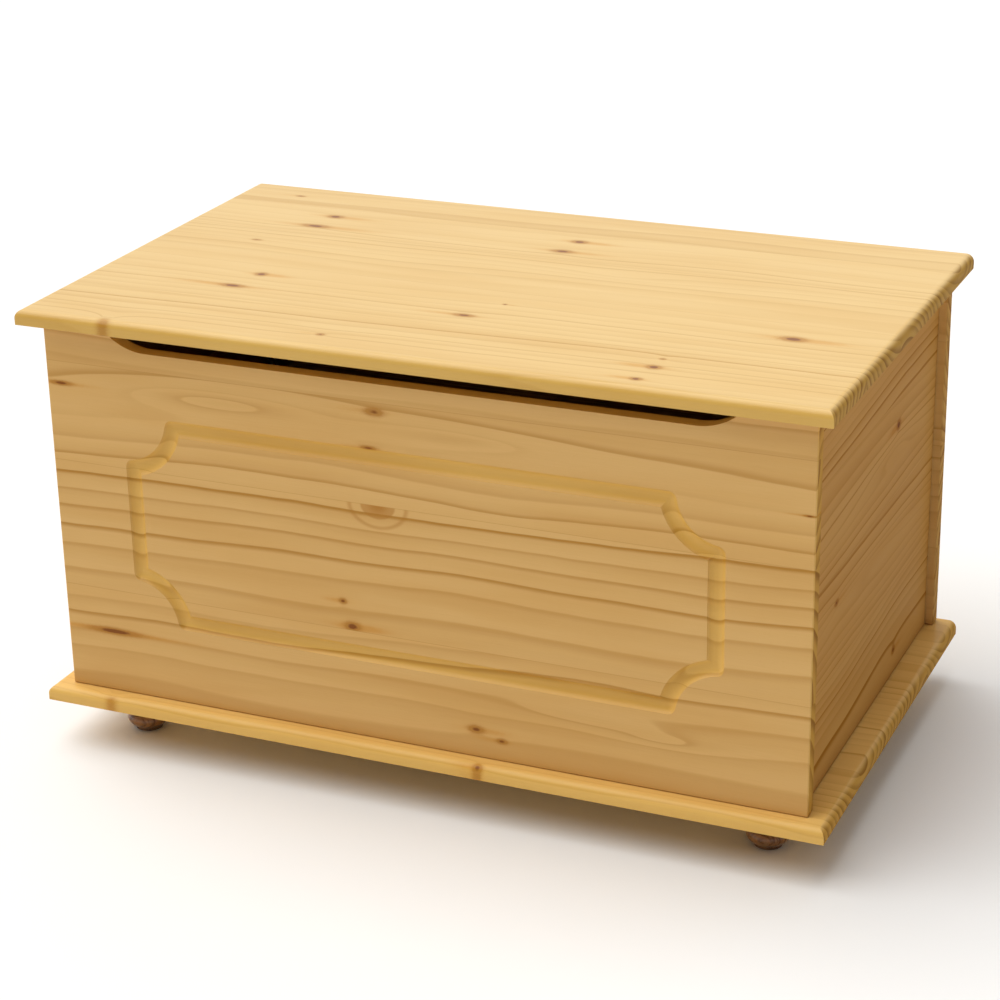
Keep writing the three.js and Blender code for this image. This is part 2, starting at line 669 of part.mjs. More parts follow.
// Nut on the end of the stud, which clamps the arm lightly against the shoulder.
function makeNut(name, side) {
  const dome = [
    [0, -NUT_LENGTH],
    [NUT_CROWN_RADIUS, -NUT_LENGTH],
    [NUT_RADIUS, -NUT_LENGTH + NUT_CROWN_HEIGHT],
    [NUT_RADIUS, 0],
    [0, 0],
  ];
  const socket = nutFace - studTip + GAP;
  const boreRadius = STUD_RADIUS + GAP;
  const bore = [[0, -socket], [boreRadius, -socket], [boreRadius, OVERCUT], [0, OVERCUT]];
  const place = at(side * nutFace, stud.y, stud.z);
  const [body, hole] = [turned(dome, HEXAGON), turned(bore)].map((shape) =>
    solid(aim(shape, outwards(-side), place)),
  );
  add(`${name}_stay_nut`, cut(body, hole), zincSteel);
}

// The arm is drawn level from its pivot, then turned down to the stud on the wall.
function makeArm(name, side) {
  const slotHalf = STUD_RADIUS + GAP;
  const outline = strip(0, chordOpen + SLOT_END_PLAY + slotHalf, ARM_HALF_WIDTH);
  outline.holes.push(strip(chordShut - SLOT_END_PLAY, chordOpen + SLOT_END_PLAY, slotHalf));
  outline.holes.push(disc(RIVET.radius + GAP));
  const geometry = sideways(outline, side * armNear, side * armFar).rotateX(armTurn);
  add(`${name}_stay_arm`, solid(geometry.translate(0, lidPivot.y, lidPivot.z)), zincSteel);
}

// Bracket: a plate under the lid and an ear down to the pivot, on the far side of the arm.
function makeBracket(name, side) {
  const { halfLength, earRadius, screwMargin } = BRACKET;
  const front = lidPivot.y - halfLength;
  const back = lidPivot.y + halfLength;
  const plate = block(side * bracketInner, side * earFar, front, back, bracketBottom, bracketTop);
  const ear = new THREE.Shape();
  ear.moveTo(front, bracketTop);
  ear.lineTo(front, bracketBottom);
  ear.absarc(lidPivot.y, lidPivot.z, earRadius, Math.PI, Math.PI * 2, false);
  ear.lineTo(back, bracketBottom);
  ear.lineTo(back, bracketTop);
  const eyeRadius = RIVET.radius + GAP;
  const eyeDepth = STAY_SHEET + OVERCUT;
  const eye = [[0, -eyeDepth], [eyeRadius, -eyeDepth], [eyeRadius, OVERCUT], [0, OVERCUT]];
  const whole = join(plate, alongX(ear, side * earNear, side * earFar));
  add(`${name}_stay_lid_bracket`, cut(whole, crosswise(eye, side, earNear, lidPivot)), zincSteel);
  for (const [number, direction] of [[1, -1], [2, 1]]) {
    const x = side * ((bracketInner + nutFace) / 2);
    const place = at(x, lidPivot.y + direction * (halfLength - screwMargin), bracketBottom);
    const through = [`${name}_stay_lid_bracket`, 'lid_board'];
    drive(`${name}_stay_lid_screw_${number}`, SHORT_SCREW, UP, place, through);
  }
}

// Rivet through the ear and the arm, with a low head at each end.
function makeRivet(name, side) {
  const { radius, headRadius, headHeight, headChamfer } = RIVET;
  const grip = earFar - armNear + 2 * GAP;
  const profile = [
    [0, -grip - headHeight],
    [headRadius - headChamfer, -grip - headHeight],
    [headRadius, -grip],
    [radius, -grip],
    [radius, 0],
    [headRadius, 0],
    [headRadius - headChamfer, headHeight],
    [0, headHeight],
  ];
  add(`${name}_stay_rivet`, crosswise(profile, side, armNear - GAP, lidPivot), zincSteel);
}

function makeStay(name, side) {
  makeWallPlate(name, side);
  makeNut(name, side);
  makeArm(name, side);
  makeBracket(name, side);
  makeRivet(name, side);
}

// ---------------------------------------------------------------- assembly

makeBoards();
cornerDowels();
baseScrews();
makeFeet();
makeHinge('left', -HINGE_OFFSET);
makeHinge('right', HINGE_OFFSET);
makeStay('left', -1);
makeStay('right', 1);

const toyBox = new THREE.Group();
toyBox.name = 'toy_box';
for (const [name, { body, material }] of pieces) {
  const mesh = new THREE.Mesh(geometryOf(body), material());
  mesh.name = name;
  toyBox.add(mesh);
}

export default toyBox;
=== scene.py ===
import functools
import math
import random

import bmesh
import bpy
from mathutils import Matrix, Vector


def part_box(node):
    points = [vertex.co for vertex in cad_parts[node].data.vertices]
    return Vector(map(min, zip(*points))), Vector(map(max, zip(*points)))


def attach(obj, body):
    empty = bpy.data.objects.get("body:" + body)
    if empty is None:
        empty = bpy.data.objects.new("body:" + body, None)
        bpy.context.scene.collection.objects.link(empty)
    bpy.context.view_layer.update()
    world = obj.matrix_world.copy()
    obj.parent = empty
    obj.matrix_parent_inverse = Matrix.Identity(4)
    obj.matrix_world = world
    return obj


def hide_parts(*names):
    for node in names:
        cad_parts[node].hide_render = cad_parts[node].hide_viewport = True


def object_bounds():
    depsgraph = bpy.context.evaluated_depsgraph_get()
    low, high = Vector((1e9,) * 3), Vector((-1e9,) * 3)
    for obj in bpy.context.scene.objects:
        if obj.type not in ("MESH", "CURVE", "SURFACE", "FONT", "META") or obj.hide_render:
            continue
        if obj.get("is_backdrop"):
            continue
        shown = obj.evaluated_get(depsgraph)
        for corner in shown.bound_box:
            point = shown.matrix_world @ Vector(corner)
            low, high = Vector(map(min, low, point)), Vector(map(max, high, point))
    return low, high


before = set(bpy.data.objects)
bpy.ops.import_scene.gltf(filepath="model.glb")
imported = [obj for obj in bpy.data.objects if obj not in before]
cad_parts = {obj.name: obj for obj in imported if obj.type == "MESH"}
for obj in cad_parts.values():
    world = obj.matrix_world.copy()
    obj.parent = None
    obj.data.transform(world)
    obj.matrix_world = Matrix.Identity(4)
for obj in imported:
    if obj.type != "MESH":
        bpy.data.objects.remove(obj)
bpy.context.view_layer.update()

MM = 0.001


# ---------------------------------------------------------------- shader sums

class Wire:
    """A shader value. Sums written with it add their Math nodes."""

    def __init__(self, nodes, node, outlet):
        self.nodes, self.node, self.outlet = nodes, node, outlet

    def of(self, name):
        return Wire(self.nodes, self.node, self.node.outputs[name])

    def maths(self, operation, *terms):
        return self.nodes.add("Math", {"operation": operation}, dict(enumerate(terms)))

    def __add__(self, other):
        return self.maths("ADD", self, other)

    def __sub__(self, other):
        return self.maths("SUBTRACT", self, other)

    def __rsub__(self, other):
        return self.maths("SUBTRACT", other, self)

    def __mul__(self, other):
        return self.maths("MULTIPLY", self, other)

    def __truediv__(self, other):
        return self.maths("DIVIDE", self, other)

    def __rtruediv__(self, other):
        return self.maths("DIVIDE", other, self)

    def __pow__(self, other):
        return self.maths("POWER", self, other)

    def __gt__(self, other):
        return self.maths("GREATER_THAN", self, other)

    def __mod__(self, other):
        return self.maths("FLOORED_MODULO", self, other)

    def __abs__(self):
        return self.maths("ABSOLUTE", self)

    def floor(self):
        return self.maths("FLOOR", self)

    def root(self):
        return self.maths("SQRT", self)

    def most(self, other):
        return self.maths("MAXIMUM", self, other)

    def least(self, other):
        return self.maths("MINIMUM", self, other)

    def rise(self, low, high):
        """0 below low, 1 above high, and smooth between."""
        sockets = {"Value": self, "From Min": low, "From Max": high}
        return self.nodes.add("MapRange", {"interpolation_type": "SMOOTHSTEP"}, sockets)

    __radd__ = __add__
    __rmul__ = __mul__


class Nodes:
    """A node tree, cleared, and the one way that nodes are added to it."""

    def __init__(self, tree):
        self.tree = tree
        tree.nodes.clear()

    def add(self, kind, settings, sockets):
        node = self.tree.nodes.new("ShaderNode" + kind)
        for key, value in settings.items():
            setattr(node, key, value)
        for key, value in sockets.items():
            if isinstance(value, Wire):
                self.tree.links.new(value.outlet, node.inputs[key])
            elif node.inputs[key].type == "RGBA":
                node.inputs[key].default_value = (*value, 1)
            else:
                node.inputs[key].default_value = value
        return Wire(self, node, node.outputs[0]) if node.outputs else None

    def blend(self, share, first, second, way="MIX"):
        """Two colours mixed by a share."""
        mixed = self.add("Mix", {"data_type": "RGBA", "blend_type": way}, {0: share, 6: first, 7: second})
        return Wire(self, mixed.node, mixed.node.outputs[2])


class Finish(Nodes):
    """A material while it's being made."""

    def __init__(self, name):
        self.material = bpy.data.materials.new(name)
        self.material.use_nodes = True
        super().__init__(self.material.node_tree)

    def spot(self):
        """Where a point lies on its piece, in millimetres."""
        place = self.add("TexCoord", {}, {}).of("Object")
        axes = self.add("SeparateXYZ", {}, {"Vector": place})
        return [axes.of(axis) * 1000 for axis in "XYZ"]

    def facing(self):
        """Which way a point of the piece faces, along each axis."""
        axes = self.add("SeparateXYZ", {}, {"Vector": self.add("TexCoord", {}, {}).of("Normal")})
        return [axes.of(axis) for axis in "XYZ"]

    def cloud(self, x, y, z, detail=2, roughness=0.5):
        """A soft random value round 0.5, with one lump for each unit of x, y and z."""
        vector = self.add("CombineXYZ", {}, {"X": x, "Y": y, "Z": z})
        sockets = {"Vector": vector, "Scale": 1, "Detail": detail, "Roughness": roughness}
        return self.add("TexNoise", {"noise_dimensions": "3D"}, sockets)

    def chance(self, number):
        """A random value from 0 to 1 for each number."""
        return self.add("TexWhiteNoise", {"noise_dimensions": "1D"}, {"W": number})

    def relief(self, height, depth):
        """A surface raised by a height from 0 to 1 times a depth in millimetres."""
        return self.add("Bump", {}, {"Height": height, "Distance": depth * MM, "Strength": 1})

    def surface(self, **sockets):
        """Makes the surface, with _ for each space in a socket's name, and gives back the material."""
        named = {key.replace("_", " "): value for key, value in sockets.items()}
        self.add("OutputMaterial", {}, {"Surface": self.add("BsdfPrincipled", {}, named)})
        return self.material


# ---------------------------------------------------------------- wood

EARLY_WOOD = (0.82, 0.585, 0.25)
LATE_WOOD = (0.49, 0.26, 0.045)
WARM_WOOD = (0.74, 0.48, 0.17)
END_WOOD = (0.52, 0.30, 0.065)
END_LINES = (0.25, 0.11, 0.02)
KNOT_TAIL = (0.65, 0.335, 0.06)
KNOT_RIM = (0.47, 0.22, 0.03)
KNOT_HEART = (0.22, 0.065, 0.004)

# Lengths in the wood, in millimetres
OUTER_STAVE = 90      # from the last glue lines to the outer sides of their staves
GRAIN_BEND = 26       # how far the grain wanders sideways over a board
GRAIN_SHAKE = 3       # and over a short way
PITH_DIVE = 12        # how far the pith rises and falls
RING_WANDER = 8       # how far the growth rings are from evenly spaced
GLUE_WIDTH = 0.6      # how far a glue line's stain reaches to each side
GRAIN_DEPTH = 0.09    # how far the late wood stands below the early wood

STAVE_STEP = 31.0     # between two staves' numbers, so that their clouds don't match
KNOT_SPREAD = 1.2     # a knot stains the wood this many times wider than itself


class Board(Finish):
    """The wood of one board while it's being made. Lengths are in millimetres.

    The board is edge-glued from staves, counted from 0, and each is cut from its own trunk.
    """

    def __init__(self, name, axes, face, glue_lines, seed):
        super().__init__(name)
        spot, facing = self.spot(), self.facing()
        self.along, self.across, self.through = (spot[axis] for axis in axes)
        self.depth = self.through - face
        self.endways, self.flatways = abs(facing[axes[0]]), abs(facing[axes[2]])
        self.past = [self.across > line for line in glue_lines]
        self.rng = random.Random(seed)
        sides = [glue_lines[0] - OUTER_STAVE, *glue_lines, glue_lines[-1] + OUTER_STAVE]
        self.middles = [(a + b) / 2 + self.either_way(0.35, 0.7) * (b - a) for a, b in zip(sides, sides[1:])]
        self.piths = [self.either_way(35, 70) for _ in self.middles]
        self.slants = [self.rng.uniform(-0.03, 0.03) for _ in self.middles]
        self.tint = self.stave_value([self.rng.random() for _ in self.middles])
        self.number = self.stave_value([STAVE_STEP * i + seed for i in range(len(self.middles))])

    def either_way(self, least, most):
        """A random length to one side or the other."""
        return self.rng.choice((-1, 1)) * self.rng.uniform(least, most)

    def stave_value(self, values):
        """The value of the stave that a point lies in."""
        total = values[0]
        for step, before, after in zip(self.past, values, values[1:]):
            total = total + step * (after - before)
        return total

    def inside(self, stave):
        """1 in one stave, and 0 in the others."""
        if stave == 0:
            return 1 - self.past[0]
        if stave == len(self.past):
            return self.past[-1]
        return self.past[stave - 1] - self.past[stave]

    def grain(self):
        """How far a point lies to the side of its trunk's pith. The grain bends slowly."""
        bend = self.cloud(self.along * 0.0028, self.across * 0.006, self.number, 1) - 0.5
        shake = self.cloud(self.along * 0.012, self.across * 0.04, self.number, 2) - 0.5
        straight = self.across - self.stave_value(self.middles) + self.along * self.stave_value(self.slants)
        return straight + bend * GRAIN_BEND + shake * GRAIN_SHAKE

    def knots(self, sideways, marks):
        """Parts the grain round the knots, and gives it back with their hearts and tails."""
        hearts, tails = [], []
        for along, across, half_width, stretch, darkness, stave in marks:
            size = half_width * KNOT_SPREAD
            area = self.inside(stave) * size * size
            dx, du = self.along - along, self.across - across
            near = area / ((dx / stretch) ** 2 + du * du + 0.15 * size * size)
            drift = (dx - self.rng.choice((-1, 1)) * 2.0 * size) / (3.4 * stretch)
            trail = area / (drift * drift + (du * 1.2) ** 2 + 0.7 * size * size)
            sideways = sideways + du * near.least(1.4) * 1.1
            hearts.append(near * darkness)
            tails.append(trail * min(darkness, 1))
        return sideways, functools.reduce(Wire.most, hearts), functools.reduce(Wire.most, tails)

    def rings(self, sideways, width, crowns):
        """The growth rings between the pith and a point, with more of them inside a crown figure."""
        dive = self.cloud(self.along * 0.002, self.number, self.across * 0.002, 1) - 0.5
        deep = self.depth + self.stave_value(self.piths) + dive * PITH_DIVE
        radius = (sideways * sideways + deep * deep).root()
        for along, across, length, breadth, count, stave in crowns:
            swell = ((self.along - along) / length) ** 2 + ((self.across - across) / breadth) ** 2
            radius = radius + self.inside(stave) * (count * width) / (1 + swell)
        uneven = self.cloud(radius * 0.04, self.number, 0.0, 1) - 0.5
        return (radius + uneven * RING_WANDER) / width

    def moon(self, colour, along, across, size, stave):
        """A big round knot with a dark hoop round it, in one stave."""
        reach = (((self.along - along) / size) ** 2 + ((self.across - across) / (0.75 * size)) ** 2).root()
        disc = (1 - reach.rise(0.9, 1.05)) * (0.6 + 0.3 * (1 - reach.rise(0.1, 0.8)))
        hoop = reach.rise(1.4, 1.6) * (1 - reach.rise(1.6, 1.85)) * 0.45
        return self.blend((disc + hoop) * self.inside(stave), colour, KNOT_RIM)


def pine(
    name, axes, face, glue_lines, seed, knots, crowns=(), moons=(), ring=8.0, contrast=1.0, gloss=0.3,
    tone=(1, 1, 1), edge=(1, 1, 1), routed=False,
):
    """Lacquered pine, edge-glued from staves. The growth rings run through the whole thickness.

    axes are the ones along the grain, across the staves and through the board, and face is
    the place of its better face on the last of them. Each knot is (along, across, half width,
    stretch, darkness, stave), each crown figure is (along, across, half length, half width,
    rings, stave), and each moon, a big knot cut by a glue line, is (along, across, half width,
    stave). ring is the width of a growth ring, contrast is how dark the rings are, and gloss is
    how much the lacquer shines. tone tints the whole board, and edge tints its rim and, where it
    is routed, the groove: partly the colour of their edge grain and cut wood, and partly painted
    light, that is painted shade on the mouldings and a painted highlight that brightens the groove.
    """
    wood = Board(name, axes, face, glue_lines, seed)
    along, across, through, number = wood.along, wood.across, wood.through, wood.number
    end_grain = wood.endways.rise(0.85 if routed else 0.25, 0.95)
    # The rim takes the edge tint: partly its own edge grain, partly painted shade on the mouldings.
    rim = 1 - wood.flatways.rise(0.5, 0.95)
    # On a routed board the groove takes the edge tint too: a painted highlight that brightens it, with the
    # colour of the cut wood.
    if routed:
        rim = rim.most(wood.depth.rise(0.3, 2.0))

    sideways, heart, tail = wood.knots(wood.grain(), knots)
    rings = wood.rings(sideways, ring, crowns)
    turn, year = rings % 1.0, rings.floor() + number
    strength = wood.chance(year)
    thin = turn.rise(0.68, 0.94) * (1 - turn.rise(0.94, 1.0))
    soft = turn.rise(0.05, 0.85) * (1 - turn.rise(0.88, 1.0)) * wood.chance(year + 0.5)
    lines = thin * (0.10 + 0.75 * strength ** 3) + soft * 0.22
    end_lines = turn.rise(0.25, 0.88) * (1 - turn.rise(0.9, 1.0)) * end_grain * (0.4 + 0.5 * strength)

    fibre = wood.cloud(along * 0.02, across * 1.1, through * 1.1, 3, 0.6)
    flecks = wood.cloud(along * 0.12, across * 2.6, through * 2.6, 2, 0.6).rise(0.56, 0.8)
    patches = wood.cloud(along * 0.004, across * 0.03, number, 2).rise(0.35, 0.7)
    mottle = 0.7 + 0.6 * wood.cloud(along * 0.25, across * 0.6, through * 0.6, 3)
    smears = wood.cloud(along * 0.012, across * 0.02, through * 0.02, 3)
    heart, tail = heart * mottle, tail * mottle

    colour = wood.blend(patches * 0.45 + wood.tint * 0.4, EARLY_WOOD, WARM_WOOD)
    for share, stain in (
        (lines * contrast, LATE_WOOD), (end_grain * 0.8, END_WOOD), (end_lines, END_LINES),
        ((fibre - 0.5) * 0.2 + 0.1, LATE_WOOD), (flecks * 0.10, KNOT_RIM),
        (tail.rise(0.15, 1.0) * 0.7, KNOT_TAIL), (heart.rise(0.2, 1.0) * 0.8, KNOT_RIM),
        (heart.rise(1.2, 3.0) * 0.9, KNOT_HEART),
    ):
        colour = wood.blend(share, colour, stain)
    for moon in moons:
        colour = wood.moon(colour, *moon)
    for line in glue_lines:
        colour = wood.blend((1 - abs(across - line).rise(0.0, GLUE_WIDTH)) * 0.4, colour, LATE_WOOD)
    # The edge tint: partly edge grain and cut wood, partly painted shade on the mouldings and a painted
    # highlight in the groove.
    colour = wood.blend(1.0, colour, wood.blend(rim, (1, 1, 1), edge), "MULTIPLY")
    return wood.surface(
        Base_Color=wood.blend(1.0, colour, tone, "MULTIPLY"),
        Roughness=0.42 - 0.5 * gloss + lines * 0.05 + fibre * 0.08 + smears * 0.10 + end_grain * 0.3,
        Normal=wood.relief(fibre * 0.5 + (1 - lines) * 0.5, GRAIN_DEPTH),
        Specular_IOR_Level=gloss * 0.3,
        Coat_Weight=(1 - end_grain) * (gloss * 1.3),
        Coat_Roughness=0.2,
    )


def stained_foot():
    """Dark lacquered beech, darker in its lowest few millimetres."""
    wood = Finish("stained_foot")
    x, y, z = wood.spot()
    streak = wood.cloud(x * 0.06, y * 0.5, z * 0.06, 4, 0.6)
    pores = wood.cloud(x * 0.25, y * 2.4, z * 0.25, 2, 0.6).rise(0.55, 0.75)
    turning = wood.cloud(0.0, 0.0, z * 1.6, 2, 0.6)
    colour = wood.blend(streak.rise(0.3, 0.72), (0.13, 0.05, 0.014), (0.42, 0.18, 0.045))
    colour = wood.blend(pores * 0.45, colour, (0.04, 0.016, 0.006))
    # Darker towards the bottom, over the lowest few millimetres of the foot.
    colour = wood.blend((1 - z.rise(1.0, 5.0)) * 0.5, colour, (0.03, 0.013, 0.007))
    return wood.surface(
        Base_Color=colour,
        Roughness=0.22 + streak * 0.12 + pores * 0.1,
        Normal=wood.relief(streak * 0.4 + turning * 0.4 + (1 - pores) * 0.2, 0.12),
        Coat_Weight=0.35,
        Coat_Roughness=0.1,
    )


def bare_beech():
    """Raw beech with its small dark flakes."""
    wood = Finish("beech_dowel")
    x, y, z = wood.spot()
    streak = wood.cloud(x * 0.5, y * 0.03, z * 0.5, 3, 0.6)
    flakes = wood.cloud(x * 1.2, y * 0.25, z * 1.2, 2).rise(0.6, 0.75)
    colour = wood.blend(streak, (0.66, 0.42, 0.22), (0.50, 0.28, 0.13))
    colour = wood.blend(flakes * 0.4, colour, (0.36, 0.18, 0.08))
    return wood.surface(Base_Color=colour, Roughness=0.5 + streak * 0.2, Normal=wood.relief(streak, 0.1))


# ---------------------------------------------------------------- metal

def plated(name, bright, dull, tarnish, roughness):
    """Plated sheet or wire, with rolling marks, small scratches and a little tarnish."""
    metal = Finish(name)
    x, y, z = metal.spot()
    rolled = metal.cloud(x * 0.15, y * 2.5, z * 2.5, 2, 0.6)
    scratch = metal.cloud(x * 1.8 + y * 0.7, y * 0.12, z * 0.9, 3, 0.65).rise(0.58, 0.7)
    clouds = metal.cloud(x * 0.09, y * 0.09, z * 0.09, 3)
    colour = metal.blend(rolled, bright, dull)
    colour = metal.blend(clouds.rise(0.5, 0.78) * 0.55, colour, tarnish)
    return metal.surface(
        Base_Color=colour,
        Roughness=roughness + rolled * 0.1 + clouds * 0.12 + scratch * 0.12,
        Normal=metal.relief(rolled * 0.6 + scratch * 0.4, 0.04),
        Metallic=1.0,
    )


# ---------------------------------------------------------------- meshes

WELD = 0.002 * MM     # corners closer than this are one
BROAD_FACE = 5e-5     # the least area, in square metres, of a face that has to look flat
SQUARE_ON = 0.99999   # and the least share of its normal that lies along one axis
EASE = 0.7 * MM       # the rounding of a moulded board's square edges


def finished(mesh, node, body, finish):
    """Puts a finished mesh on its body, in place of its CAD node."""
    mesh.materials.clear()
    mesh.materials.append(finish)
    thing = bpy.data.objects.new(node + "_piece", mesh)
    bpy.context.scene.collection.objects.link(thing)
    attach(thing, body)
    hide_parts(node)
    return thing


def as_mesh(bm, name, sharp=24):
    """A mesh of a shape, smooth but for its sharp edges and those round its broad flat faces."""
    bmesh.ops.recalc_face_normals(bm, faces=bm.faces)
    broad = {f for f in bm.faces if f.calc_area() > BROAD_FACE and max(map(abs, f.normal)) > SQUARE_ON}
    for face in bm.faces:
        face.smooth = True
    for edge in bm.edges:
        if len(edge.link_faces) == 2:
            border = len(broad.intersection(edge.link_faces)) == 1
            edge.smooth = not border and edge.calc_face_angle() < math.radians(sharp)
    mesh = bpy.data.meshes.new(name)
    bm.to_mesh(mesh)
    bm.free()
    return mesh


def welded_copy(node):
    """The CAD node's own shape with its triangles joined up again."""
    bm = bmesh.new()
    bm.from_mesh(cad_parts[node].data)
    bmesh.ops.remove_doubles(bm, verts=bm.verts, dist=WELD)
    bmesh.ops.dissolve_limit(bm, angle_limit=math.radians(0.5), verts=bm.verts, edges=bm.edges)
    return bm


def eased(bm, width, sharper_than):
    """Rounds the edges of a shape that are sharper than an angle in degrees."""
    edges = [
        e for e in bm.edges
        if len(e.link_faces) == 2 and e.calc_face_angle() > math.radians(sharper_than)
    ]
    bmesh.ops.bevel(
        bm, geom=edges, offset=width, offset_type="OFFSET", segments=2, profile=0.5, affect="EDGES",
        clamp_overlap=True,
    )
    bmesh.ops.dissolve_degenerate(bm, dist=WELD, edges=bm.edges)
    return bm


def refined(node, body, finish, width, sharper_than=40):
    """Gives a CAD node's own shape its finish and sharp edges rounded by a width in millimetres."""
    bm = eased(welded_copy(node), width * MM, sharper_than)
    finished(as_mesh(bm, node), node, body, finish)


def turned(profile, segments):
    """A turned shape around the Z axis, from (radius, height) points in millimetres."""
    bm = bmesh.new()
    rows = []
    for radius, height in profile:
        if radius == 0:
            rows.append([bm.verts.new((0, 0, height * MM))])
            continue
        angles = [2 * math.pi * i / segments for i in range(segments)]
        rows.append([
            bm.verts.new((radius * MM * math.cos(a), radius * MM * math.sin(a), height * MM)) for a in angles
        ])
    for below, above in zip(rows, rows[1:]):
        for i in range(segments):
            j = (i + 1) % segments
            corners = [row[k % len(row)] for row, k in ((below, i), (below, j), (above, j), (above, i))]
            bm.faces.new(list(dict.fromkeys(corners)))
    return bm


def arc(radius, height, size, squash, start, end, steps):
    """Points of a bulge in a turned profile, from one angle in degrees to another."""
    points = []
    for i in range(steps + 1):
        angle = math.radians(start + (end - start) * i / steps)
        points.append((radius + size * math.cos(angle), height + size * squash * math.sin(angle)))
    return points


def moulded_board(node, body, finish, radius, steps=24):
    """A board with a mitred quarter round along its front and its ends, and eased square edges."""
    low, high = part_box(node)
    corner = 0.3 * EASE
    profile = [(EASE, low.z), (corner, low.z + corner), (0, low.z + EASE), (0, high.z - radius)]
    for i in range(1, steps + 1):
        angle = math.pi / 2 * i / steps
        profile.append((radius * (1 - math.cos(angle)), high.z - radius + radius * math.sin(angle)))
    bm = bmesh.new()
    loops = []
    for inset, z in profile:
        left, right, front, rear = low.x + inset, high.x - inset, low.y + inset, high.y
        corners = ((left, front), (right, front), (right, rear), (left, rear))
        loops.append([bm.verts.new((x, y, z)) for x, y in corners])
    for below, above in zip(loops, loops[1:]):
        for i in (0, 1, 3):
            j = (i + 1) % 4
            bm.faces.new((below[i], below[j], above[j], above[i]))
    bm.faces.new([loop[2] for loop in loops] + [loop[3] for loop in reversed(loops)])
    bm.faces.new(loops[0])
    bm.faces.new(loops[-1])
    rear_edges = [
        e for e in bm.edges
        if all(abs(v.co.y - high.y) < WELD for v in e.verts) and e.calc_length() > (high.x - low.x) / 2
    ]
    bmesh.ops.bevel(bm, geom=rear_edges, offset=EASE, segments=2, profile=0.5, affect="EDGES")
    finished(as_mesh(bm, node, 28), node, body, finish)


# ---------------------------------------------------------------- screws

def screw_mesh(name, shank, head, length):
    """A countersunk screw with a cross recess, its head at the origin and its point down."""
    cone = head - shank
    profile = [(head * 0.97, 0), (head, -0.12), (shank, -cone), (shank, -length + 2 * shank), (0, -length)]
    bm = turned(profile, 28)
    rim = [v for v in bm.verts if v.co.z == 0]
    reach, half, depth, taper = head * 0.58, head * 0.13, cone * 0.75, 0.55
    cross = [
        (reach, -half), (reach, half), (half, half), (half, reach), (-half, reach), (-half, half),
        (-reach, half), (-reach, -half), (-half, -half), (-half, -reach), (half, -reach), (half, -half),
    ]
    top = [bm.verts.new((x * MM, y * MM, 0)) for x, y in cross]
    floor = [bm.verts.new((x * MM * taper, y * MM * taper, -depth * MM)) for x, y in cross]
    corners = len(cross)
    edges = [bm.edges.new((top[i], top[(i + 1) % corners])) for i in range(corners)]
    edges += [e for e in bm.edges if all(v in rim for v in e.verts)]
    bmesh.ops.triangle_fill(bm, edges=edges, use_beauty=True)
    # The faces that cover the cross go, and those in the corners between its arms stay.
    for face in [f for f in bm.faces if set(f.verts) <= set(top)]:
        if min(map(abs, face.calc_center_median().xy)) < half * MM:
            bm.faces.remove(face)
    for i in range(corners):
        j = (i + 1) % corners
        bm.faces.new((top[i], top[j], floor[j], floor[i]))
    bm.faces.new(floor)
    return as_mesh(bm, name, 40)


def drive(mesh, node, body, finish, direction):
    """Sets a screw in the place of its CAD node, driven in a direction along one axis."""
    low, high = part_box(node)
    point = Vector(direction)
    half_length = Vector(abs(p) * size / 2 for p, size in zip(point, high - low))
    head = (low + high) / 2 - half_length * sum(point)
    thing = finished(mesh.copy(), node, body, finish)
    turn = Vector((0, 0, -1)).rotation_difference(point)
    spin = Matrix.Rotation(random.Random(node).uniform(0, 6.28), 4, "Z")
    thing.matrix_world = Matrix.Translation(head) @ turn.to_matrix().to_4x4() @ spin


# ---------------------------------------------------------------- finishes

X, Y, Z = 0, 1, 2
lid_pine = pine(
    "pine_lid", (X, Y, Z), 458, [-142, -30, 84, 176], 11,
    knots=[
        (-256, 148, 4.6, 1.6, 0.9, 3), (-260, 110, 5.0, 2.6, 0.8, 3), (-233, -59, 4.2, 1.2, 1.0, 1),
        (-242, -101, 4.2, 2.6, 0.9, 1), (19, 148, 4.4, 1.6, 0.9, 3), (15, 112, 5.0, 2.2, 0.7, 3),
        (6, -109, 4.6, 2.4, 0.6, 1), (312, -71, 5.2, 1.8, 1.0, 1), (221, -185, 4.2, 1.3, 1.0, 0),
        (217, -219, 3.6, 1.4, 0.8, 0), (-328, 208, 3.4, 2.0, 0.4, 4), (-294, 45, 4.0, 2.2, 0.3, 2),
        (-94, -205, 4.6, 1.3, 0.36, 0), (221, -162, 3.6, 1.4, 0.3, 0), (29, -66, 2.2, 1.2, 0.5, 1),
        (-304, -238, 13.0, 1.0, 0.17, 0),
    ],
    # edge: the moulding's ochre edge grain, with painted shade that darkens it.
    crowns=[(100, 52, 70, 12, 1.2, 2)], ring=10.0, contrast=0.8, gloss=0.3, edge=(0.88, 0.80, 0.50),
)
base_pine = pine(
    "pine_base", (X, Y, Z), 63, [-120, -10, 120], 23,
    knots=[
        (66, -236, 3.6, 1.6, 0.5, 0), (-330, -238, 11.0, 1.4, 0.14, 0), (345, -95, 12, 1.2, 0.16, 1),
        (-120, 60, 5, 1.8, 1.0, 2), (180, 100, 4, 1.8, 0.8, 2), (-250, -60, 5, 1.5, 0.9, 1),
    ],
    ring=10.0, gloss=0.2, tone=(1.05, 0.96, 0.74), edge=(0.95, 0.92, 0.78),
)
